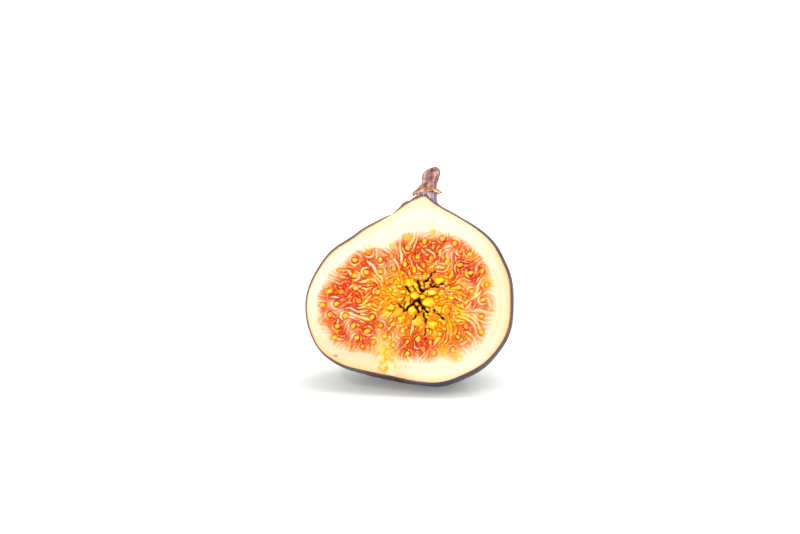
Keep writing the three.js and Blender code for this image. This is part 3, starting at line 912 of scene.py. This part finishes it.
def lay_strands(seeds):
    """Even strands that follow the flow. Each is a list of points from the heart."""
    rng = random.Random(12)
    flow, ground = Flow(seeds), Ground(STRAND_SPACING)
    limits = (np.asarray(reach(np.radians(np.arange(360)))) + 0.9).tolist()

    def inside(x, z):
        return STRANDS_FROM < math.hypot(x, z) < limits[int(math.atan2(z, x) * 180 / math.pi) % 360]

    def follow(x, z, way):
        line = []
        back_x, back_z = flow.at(x, z)
        back_x, back_z = way * back_x, way * back_z
        for _ in range(260):
            step_x, step_z = flow.at(x, z)
            if step_x * back_x + step_z * back_z < 0:
                step_x, step_z = -step_x, -step_z
            back_x, back_z = step_x, step_z
            x, z = x + step_x * STRAND_STEP, z + step_z * STRAND_STEP
            if not inside(x, z) or not ground.free(x, z, 0.62 * STRAND_SPACING):
                break
            if any((x - p) ** 2 + (z - q) ** 2 < 0.09 for p, q in line[:-8]):
                break
            line.append((x, z))
        return line

    strands = []
    for x, z, size in seeds:
        tail = math.atan2(z, x) + rng.uniform(-0.8, 0.8) + (math.pi if rng.random() < 0.35 else 0.0)
        ring = []
        extent = rng.choice((0.0, rng.uniform(0.3, 0.65), rng.uniform(0.3, 0.65))) * 2 * math.pi
        start = tail + math.pi - extent / 2 + rng.uniform(-0.7, 0.7)
        room, pull = rng.uniform(0.3, 0.5), rng.uniform(0.3, 1.2)
        for k in range(int(extent * 1.25 / STRAND_STEP)):
            angle = start + k * STRAND_STEP / 1.25
            radius = size + room + pull * max(0.0, math.cos(angle - tail)) ** 5
            ring.append((x + radius * math.cos(angle), z + radius * math.sin(angle)))
        if not ring:
            continue
        for point in ring:
            ground.add(*point)
        strands.append(ring)
    waiting = [point for ring in strands for point in ring[::4]]
    rng.shuffle(waiting)
    while waiting:
        x, z = waiting.pop()
        step_x, step_z = flow.at(x, z)
        for side in (-1, 1):
            apart = STRAND_SPACING * rng.uniform(0.92, 1.25)
            new_x, new_z = x - side * step_z * apart, z + side * step_x * apart
            if not inside(new_x, new_z) or not ground.free(new_x, new_z, 0.9 * STRAND_SPACING):
                continue
            line = follow(new_x, new_z, -1)[::-1] + [(new_x, new_z)] + follow(new_x, new_z, 1)
            if len(line) < 12:
                continue
            for point in line:
                ground.add(*point)
            strands.append(line)
            waiting.extend(line[::4])
    return strands


def square_to_disc(count):
    """A square grid bent onto a disc with nearly even cells, as angles and shares of the radius."""
    axis = np.linspace(-1, 1, count)
    a, b = np.meshgrid(axis, axis, indexing="ij")
    wide = a * a > b * b
    share = np.where(wide, a, b)
    safe_a, safe_b = np.where(a == 0, 1e-9, a), np.where(b == 0, 1e-9, b)
    angle = np.where(wide, math.pi / 4 * b / safe_a, math.pi / 2 - math.pi / 4 * a / safe_b)
    angle = np.where(share < 0, angle + math.pi, angle)
    return angle.ravel(), np.abs(share).ravel()


def nearest(points, x, z):
    """For each x and z, how far the nearest of the points is and which it is."""
    tree = kdtree.KDTree(len(points))
    for k, point in enumerate(points):
        tree.insert((point[0], point[1], 0.0), k)
    tree.balance()
    found = [tree.find((u, v, 0.0)) for u, v in zip(x.tolist(), z.tolist())]
    return np.array([f[2] for f in found]), np.array([f[1] for f in found])


def golden_side(x, z):
    """How golden the pulp is apart from its distance to the heart."""
    return sum(much * bell(np.hypot(x - at_x, z - at_z), radius) for at_x, at_z, radius, much in TINTS)


def spot_mask(x, z):
    return np.max([bell(np.hypot(x - at_x, z - at_z), radius) for at_x, at_z, radius in SPOTS], axis=0)


def floret_shade(x, z, florets):
    """1 under the florets, where the pulp gives way to them."""
    shade = np.zeros(np.shape(x))
    for blob in florets:
        dx, dz = x + HEART_X - blob["centre"][0], z + HEART_Z - blob["centre"][2]
        along = dx * math.cos(blob["turn"]) + dz * math.sin(blob["turn"])
        side = -dx * math.sin(blob["turn"]) + dz * math.cos(blob["turn"])
        off = np.hypot(along / blob["size"][0], side / blob["size"][2])
        shade = np.maximum(shade, 1 - smoothstep(0.85, 1.2, off))
    return shade


def strand_masks(x, z, seeds):
    """For points in the cut face: how much on a strand, how much on its outline, and the strand's tone."""
    rng = random.Random(3)
    strands = lay_strands(seeds)
    widths = np.array([rng.uniform(*STRAND_WIDTHS) for _ in strands])
    tones = np.array([rng.random() for _ in strands])
    samples = [(p, q, k) for k, line in enumerate(strands) for p, q in line]
    ends = [min(1.0, 0.2 + 0.07 * min(n, len(line) - 1 - n)) for line in strands for n in range(len(line))]
    off, which = nearest(samples, x, z)
    owner = np.array([sample[2] for sample in samples])[which]
    tone = tones[owner]
    swelling = 1 + 0.22 * np.sin(2.3 * x + 1.1 * z + 5 * tone) * np.sin(1.7 * z - 0.9 * x + 3 * tone)
    width = widths[owner] * swelling + 0.06 * smoothstep(0.7, 1.0, tone)
    width = np.maximum(0.05, width * np.array(ends)[which])
    return bell(off, width), bell(off - width - OUTLINE_OFF, OUTLINE_WIDTH), tone


def make_pulp(seeds, florets):
    """The pulp's face as one fine relief with its strands, pits and heart, and a plain dome behind."""
    count = PULP_GRID
    angle, share = square_to_disc(count)
    distance = share * (reach(angle) + PULP_UNDER_FLESH + 0.35)
    x, z = distance * np.cos(angle), distance * np.sin(angle)
    strand, gap, tone = strand_masks(x, z, seeds)

    seed_off, which_seed = nearest(seeds, x, z)
    sizes = np.array([size for _, _, size in seeds])[which_seed]
    pit = 1 - smoothstep(sizes * 0.95, sizes + 0.3, seed_off)

    turned = angle - CREVICE_TURN
    oval = np.hypot(distance * np.cos(turned) / 1.25, distance * np.sin(turned))
    heart = 1 - smoothstep(HEART_FROM, HEART_TO, oval)
    crack = crack_mask(x, z)
    true_share = distance / reach(angle)
    relief = -0.16 * strand + 0.1 * gap + 0.2 * pit + 0.10 * np.sin(1.7 * distance + 5 * angle)
    rim = smoothstep(0.9, 1.04, true_share)
    under = floret_shade(x, z, florets)
    sunk = relief * (1 - rim) * (1 - heart) + 0.02 * rim + 0.5 * under + 0.6 * heart + 1.3 * crack
    face = np.stack([x + HEART_X, -CUT_IN_FRONT + 0.1 + sunk, z + HEART_Z], -1)

    i, j = np.meshgrid(np.arange(count - 1), np.arange(count - 1), indexing="ij")
    corner = (i * count + j).ravel()
    quads = np.stack([corner, corner + count, corner + count + 1, corner + 1], -1)
    faces = [tuple(quad) for quad in quads.tolist()]
    last = count * count - 1
    edge = [*range(0, last + 1 - count, count), *range(last + 1 - count, last)]
    edge += [*range(last, count - 1, -count), *range(count - 1, 0, -1)]
    n, rings = len(edge), 6
    dome = []
    for slope in np.linspace(0.05, 0.93, rings) * math.pi / 2:
        level = -CUT_IN_FRONT + 0.3 + (PULP_DEPTH - 0.3) * math.sin(slope)
        dome.append(around_heart(angle[edge], reach(angle[edge]) * math.cos(slope), level))
    first = len(face)
    points = np.concatenate([face] + dome + [[[HEART_X, -CUT_IN_FRONT + PULP_DEPTH, HEART_Z]]])
    for k in range(n):
        after = (k + 1) % n
        faces.append((edge[after], edge[k], first + k, first + after))
    faces += fan(len(points) - 1, first + (rings - 1) * n, n, inward=True)
    faces += ring_faces(rings, n, first, inward=True)
    attributes = {
        "share": true_share, "strand": strand, "gap": gap, "tone": tone, "pit": pit, "crack": crack,
        "heart": np.maximum(heart, 0.7 * under),
        "stream": bell(line_distance(x, z, PALE_STREAMS), STREAM_WIDTH),
        "golden": golden_side(x, z),
        "spot": spot_mask(x, z),
        "warm": warmth(face[:, 0], face[:, 2]),
        "canal": canal_mask(face[:, 0], face[:, 2]),
    }
    for key, values in attributes.items():
        behind = np.full(len(points) - first, 1.1 if key == "share" else 0.0)
        attributes[key] = np.concatenate([values, behind])
    return make_mesh("fig_pulp", points, faces, attributes, pulp_material())


def lumps(name, blobs, material, resolution=3):
    """One mesh of separate rounded lumps. Each blob has a centre, three half sizes, a turn in the face,
    a dip into it and a tone. Those that press on each other are parted halfway by a thin gap."""
    verts, faces, crowns, tones = [], [], [], []
    for blob in blobs:
        bm = bmesh.new()
        bmesh.ops.create_icosphere(bm, subdivisions=resolution, radius=1.0)
        first = len(verts)
        spin = Matrix.Rotation(-blob["turn"], 3, "Y") @ Matrix.Rotation(-blob["dip"], 3, "Z")
        centre, girth = Vector(blob["centre"]), blob["size"][0] * blob["size"][2]
        planes = []
        for other in blobs:
            way = Vector(other["centre"]) - centre
            length = way.length
            if 1e-6 < length < blob["size"][0] + other["size"][0]:
                reach_here = length / 2 + (girth - other["size"][0] * other["size"][2]) / (2 * length)
                planes.append((way / length, reach_here - 0.05))
        for vert in bm.verts:
            unit = vert.co.normalized()
            rough = 1 + blob["rough"] * noise.fractal(unit * 1.5 + Vector((blob["seed"], 0, 0)), 0.8, 2.2, 2)
            local = Vector(unit[k] * blob["size"][k] * rough for k in range(3))
            point = centre + spin @ local
            for way, limit in planes:
                over = (point - centre).dot(way) - limit
                if over > 0:
                    point = point - way * over
            verts.append(tuple(point))
            # crown: 1 where a lump stands out furthest, less towards its foot; the seeds and florets are
            # painted shade and highlights by it.
            crowns.append(min(1.0, max(0.0, 0.35 + 0.65 * (centre.y - point.y) / blob["size"][1])))
            tones.append(blob["tone"])
        faces += [tuple(first + v.index for v in face.verts) for face in bm.faces]
        bm.free()
    verts = np.array(verts)
    crack = crack_mask(verts[:, 0] - HEART_X, verts[:, 2] - HEART_Z)
    verts[:, 1] += 1.2 * crack * np.array(crowns)
    proud = np.maximum(0, -CUT_IN_FRONT - 0.1 - verts[:, 1])
    verts[:, 1] += proud - 0.3 * (1 - np.exp(-proud / 0.4))
    return make_mesh(name, verts, faces, {"crown": crowns, "tone": tones, "crack": crack}, material)


def make_seeds(seeds):
    rng = random.Random(21)
    blobs = []
    for x, z, size in seeds:
        blobs.append({
            "centre": (HEART_X + x, -CUT_IN_FRONT + 0.05 + rng.uniform(0.0, 0.3), HEART_Z + z),
            "size": [size * rng.uniform(*limits) for limits in ((1.0, 1.35), (0.75, 0.95), (0.8, 1.0))],
            "turn": math.atan2(z, x) + rng.uniform(-0.6, 0.6), "dip": rng.uniform(-0.2, 0.2),
            "rough": 0.2, "seed": rng.uniform(0, 90), "tone": rng.random(),
        })
    return lumps("fig_seeds", blobs, seed_material(), 2)


def floret_blobs():
    """The heart's golden florets, and the smaller cells that crowd round them."""
    rng = random.Random(8)
    blobs = []

    def add(x, z, length, width, turn, sink, rough):
        deep = 0.95 * width + 0.35
        blobs.append({
            "centre": (HEART_X + x, -CUT_IN_FRONT - 0.12 + sink + deep, HEART_Z + z),
            "size": (length, deep, width), "turn": turn, "dip": rng.uniform(-0.2, 0.2), "rough": rough,
            "seed": rng.uniform(0, 90), "tone": rng.random(),
        })

    for x, z, length, width, turn in HEART_FLORETS:
        add(x, z, length * 1.2, width * 1.2, math.radians(turn), rng.uniform(-0.25, 0.15), 0.6)
    for _ in range(CELL_TRIES):
        angle, distance = rng.uniform(0, 2 * math.pi), CELL_FIELD * math.sqrt(rng.random())
        x = CELL_MIDDLE[0] + CELL_STRETCH[0] * distance * math.cos(angle)
        z = CELL_MIDDLE[1] + CELL_STRETCH[1] * distance * math.sin(angle)
        size = rng.uniform(0.5, 0.85) * (1 - 0.02 * distance)
        if line_distance(x, z, CRACKS) < 0.55 * size:
            continue
        spacing = 0.7 + 0.16 * max(0.0, distance - 3.5)
        if any(math.hypot(HEART_X + x - b["centre"][0], HEART_Z + z - b["centre"][2])
               < spacing * (size + 0.5 * (b["size"][0] + b["size"][2])) for b in blobs):
            continue
        turn = math.atan2(z, x) + rng.uniform(-0.5, 0.5)
        add(x, z, size * rng.uniform(1.3, 2.1), size * 0.9, turn, rng.uniform(-0.05, 0.25), 0.5)
    return blobs


# The stem.


def make_stem():
    """A stub with a waist, a slanting cut end and finely wrinkled bark."""
    around, rows = 90, 110
    foot = NECK_TOP + 0.05
    points, relief = [], []
    for j in range(rows):
        t = j / (rows - 1)
        rounding = math.sqrt(max(0.0, 1 - max(0.0, (t - 0.7) / 0.305) ** 2))
        waist = 0.1 * bell(t - 0.36, 0.14)
        for k in range(around):
            angle = 2 * math.pi * k / around
            wrinkle = 0.06 * math.cos(5 * angle - 3 * t) + 0.03 * math.cos(9 * angle + 5 * t)
            spot = Vector((2.2 * math.cos(angle), 2.2 * math.sin(angle), STEM_LENGTH * t))
            rough = noise.fractal(spot * 1.1, 0.9, 2.1, 4)
            rings = 0.35 * math.cos(19 * t + 1.2 * math.sin(2 * angle))
            flare = (0.14 - 0.12 * math.cos(angle)) * bell(t, 0.26) - waist
            r = STEM_RADIUS * (1 + flare) * (rounding * (1 + wrinkle) + 0.05 * rough * min(1, 3 * rounding))
            x = r * math.cos(angle)
            height = foot + STEM_LENGTH * t + STEM_SLANT * t * t * x
            points.append((x - NECK_LEFT, 0.92 * r * math.sin(angle), height))
            relief.append(0.5 + 0.4 * rough + 0.1 * rings + 2.0 * wrinkle)
    points += [(-NECK_LEFT, 0, foot), (-NECK_LEFT, 0, foot + STEM_LENGTH * 1.005)]
    relief += [0.3, 0.6]
    faces = ring_faces(rows, around) + fan(rows * around, 0, around, inward=True)
    faces += fan(rows * around + 1, (rows - 1) * around, around)
    return make_mesh("fig_stem", points, faces, {"relief": relief}, stem_material())


def make_bracts():
    """Thin ragged scales round the stem's foot, curling out and down to a tip each."""
    rng = random.Random(4)
    verts, faces, edges = [], [], []
    columns, rows = 40, 12
    spread = np.linspace(-1, 1, columns)
    for number, (middle, narrow, low) in enumerate(BRACTS):
        length = BRACT_REACH - 0.15 * number - BRACT_EDGE
        tips = [BRACT_EDGE + length * bell(u, narrow) + rng.uniform(-0.3, 0.15)
                + 0.22 * math.sin(13 * u + number) - 0.3 * u**6 for u in spread]
        sheets = []
        for under in (0.0, BRACT_THICKNESS):
            sheets.append(len(verts))
            for tip, u in zip(tips, spread):
                angle = middle + BRACT_HALF_SPREAD * u
                for j in range(rows):
                    t = j / (rows - 1)
                    out = BRACT_FOOT + (tip - BRACT_FOOT) * t
                    ripple = (0.2 * math.sin(9 * u + 2 * number) + 0.12 * math.sin(21 * u + number)) * t
                    drop = low * t**1.6 + 0.2 * max(0.0, out - 2.8) + under * (1 - 0.5 * t)
                    height = NECK_TOP + 0.95 + 0.15 * out * math.cos(angle) - drop + ripple
                    verts.append((out * math.cos(angle) - NECK_LEFT, out * math.sin(angle), height))
                    edges.append(t * (0.5 + 0.3 * rng.random()) - 0.15 * math.sin(7 * u + number))
        upper, lower = sheets
        for i in range(columns - 1):
            for j in range(rows - 1):
                a = i * rows + j
                quad = (a, a + 1, a + rows + 1, a + rows)
                faces.append(tuple(upper + v for v in quad))
                faces.append(tuple(lower + v for v in quad[::-1]))
        border = [i * rows for i in range(columns)] + [(columns - 1) * rows + j for j in range(1, rows)]
        border += [i * rows + rows - 1 for i in range(columns - 2, -1, -1)] + list(range(rows - 2, 0, -1))
        for k, a in enumerate(border):
            b = border[(k + 1) % len(border)]
            faces.append((upper + a, upper + b, lower + b, lower + a))
    return make_mesh("fig_bracts", verts, faces, {"edge": edges}, bract_material())


# The pieces, each on its body.


def settle(piece, slot, *nodes):
    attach(piece, "root")
    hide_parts(*nodes)


SEEDS = seed_places()
settle(make_skin(), "skin", "skin")
settle(make_flesh(), "flesh", "flesh")
FLORET_BLOBS = floret_blobs()
settle(make_pulp(SEEDS, FLORET_BLOBS), "pulp", "pulp")
settle(make_seeds(SEEDS), "florets", "pulp")
settle(lumps("fig_florets", FLORET_BLOBS, floret_material()), "florets", "florets")
settle(make_stem(), "stem", "stem")
settle(make_bracts(), "stem", "stem")


# Floor, light and camera.


FLOOR_HALF_SIDE = 4.0
WORLD_STRENGTH = 0.82

# The lights, as (name, place, what it points at, diameter, power), in metres and watts.
LIGHTS = [
    ("key", (0.2, 0.0, 0.9), (0, 0, 0.02), 0.8, 2.4),
    ("front", (-0.1, -0.7, 0.45), (0, 0, 0.025), 0.3, 0.68),
    ("glint", (-0.22, -0.5, 0.45), (0, 0, 0.025), 0.05, 0.5),
    ("back", (0.35, 0.4, 0.4), (0, 0, 0.03), 0.3, 1.0),
]


def make_floor():
    f = Finish("floor", Roughness=0.9, Specular_IOR_Level=0.1, Emission_Strength=0.18,
               Emission_Color=(1.0, 1.0, 1.0, 1.0))
    tint = f.noise(f.place((1.0, 1.0, 1.0)), 0.8, 2.0)
    colour = f.mix(f.rise(tint, 0.3, 0.7, 0.0, 0.3), srgb(251, 254, 246), srgb(248, 251, 243))
    mesh = bpy.data.meshes.new("floor")
    corners = [(x, y, 0) for x, y in ((-1, -1), (1, -1), (1, 1), (-1, 1))]
    mesh.from_pydata([Vector(corner) * FLOOR_HALF_SIDE for corner in corners], [], [(0, 1, 2, 3)])
    mesh.materials.append(f.finish(Base_Color=colour))
    show("floor", mesh)


def make_light(name, place, target, size, power):
    data = bpy.data.lights.new(name, "AREA")
    data.shape, data.size, data.energy = "DISK", size, power
    light = show(name, data)
    light.location = place
    light.rotation_euler = (Vector(target) - Vector(place)).to_track_quat("-Z", "Y").to_euler()


def make_world(strength):
    world = bpy.data.worlds.new("studio")
    world.use_nodes = True
    world.node_tree.nodes["Background"].inputs["Color"].default_value = (1.0, 1.0, 1.0, 1.0)
    world.node_tree.nodes["Background"].inputs["Strength"].default_value = strength
    bpy.context.scene.world = world


# The camera looks at the middle of the cut face from a little to its right and above. In the
# 800 x 534 photograph that point lies at pixel (411, 290), at about 4.08 pixels to a millimetre.
VIEW_AZIMUTH = math.radians(6)
VIEW_PITCH = math.radians(14)
VIEW_DISTANCE = 0.545
LENS = 100.0
SENSOR = 36.0
FRAME_WIDTH, FRAME_HEIGHT = 800, 534
AIM_PIXEL = (411, 290)


def make_camera():
    aim = Vector(to_row([0, -CUT_IN_FRONT, 0]))
    back = Vector((
        math.sin(VIEW_AZIMUTH) * math.cos(VIEW_PITCH),
        -math.cos(VIEW_AZIMUTH) * math.cos(VIEW_PITCH),
        math.sin(VIEW_PITCH),
    ))
    data = bpy.data.cameras.new("camera")
    data.lens, data.sensor_width = LENS, SENSOR
    data.dof.use_dof = False
    data.shift_x = (FRAME_WIDTH / 2 - AIM_PIXEL[0]) / FRAME_WIDTH
    data.shift_y = (AIM_PIXEL[1] - FRAME_HEIGHT / 2) / FRAME_WIDTH
    camera = show("camera", data)
    camera.location = aim + back * VIEW_DISTANCE
    camera.rotation_euler = (-back).to_track_quat("-Z", "Y").to_euler()
    bpy.context.scene.camera = camera


make_floor()
make_world(WORLD_STRENGTH)
for light in LIGHTS:
    make_light(*light)
make_camera()
bpy.context.scene.view_settings.view_transform = "Standard"
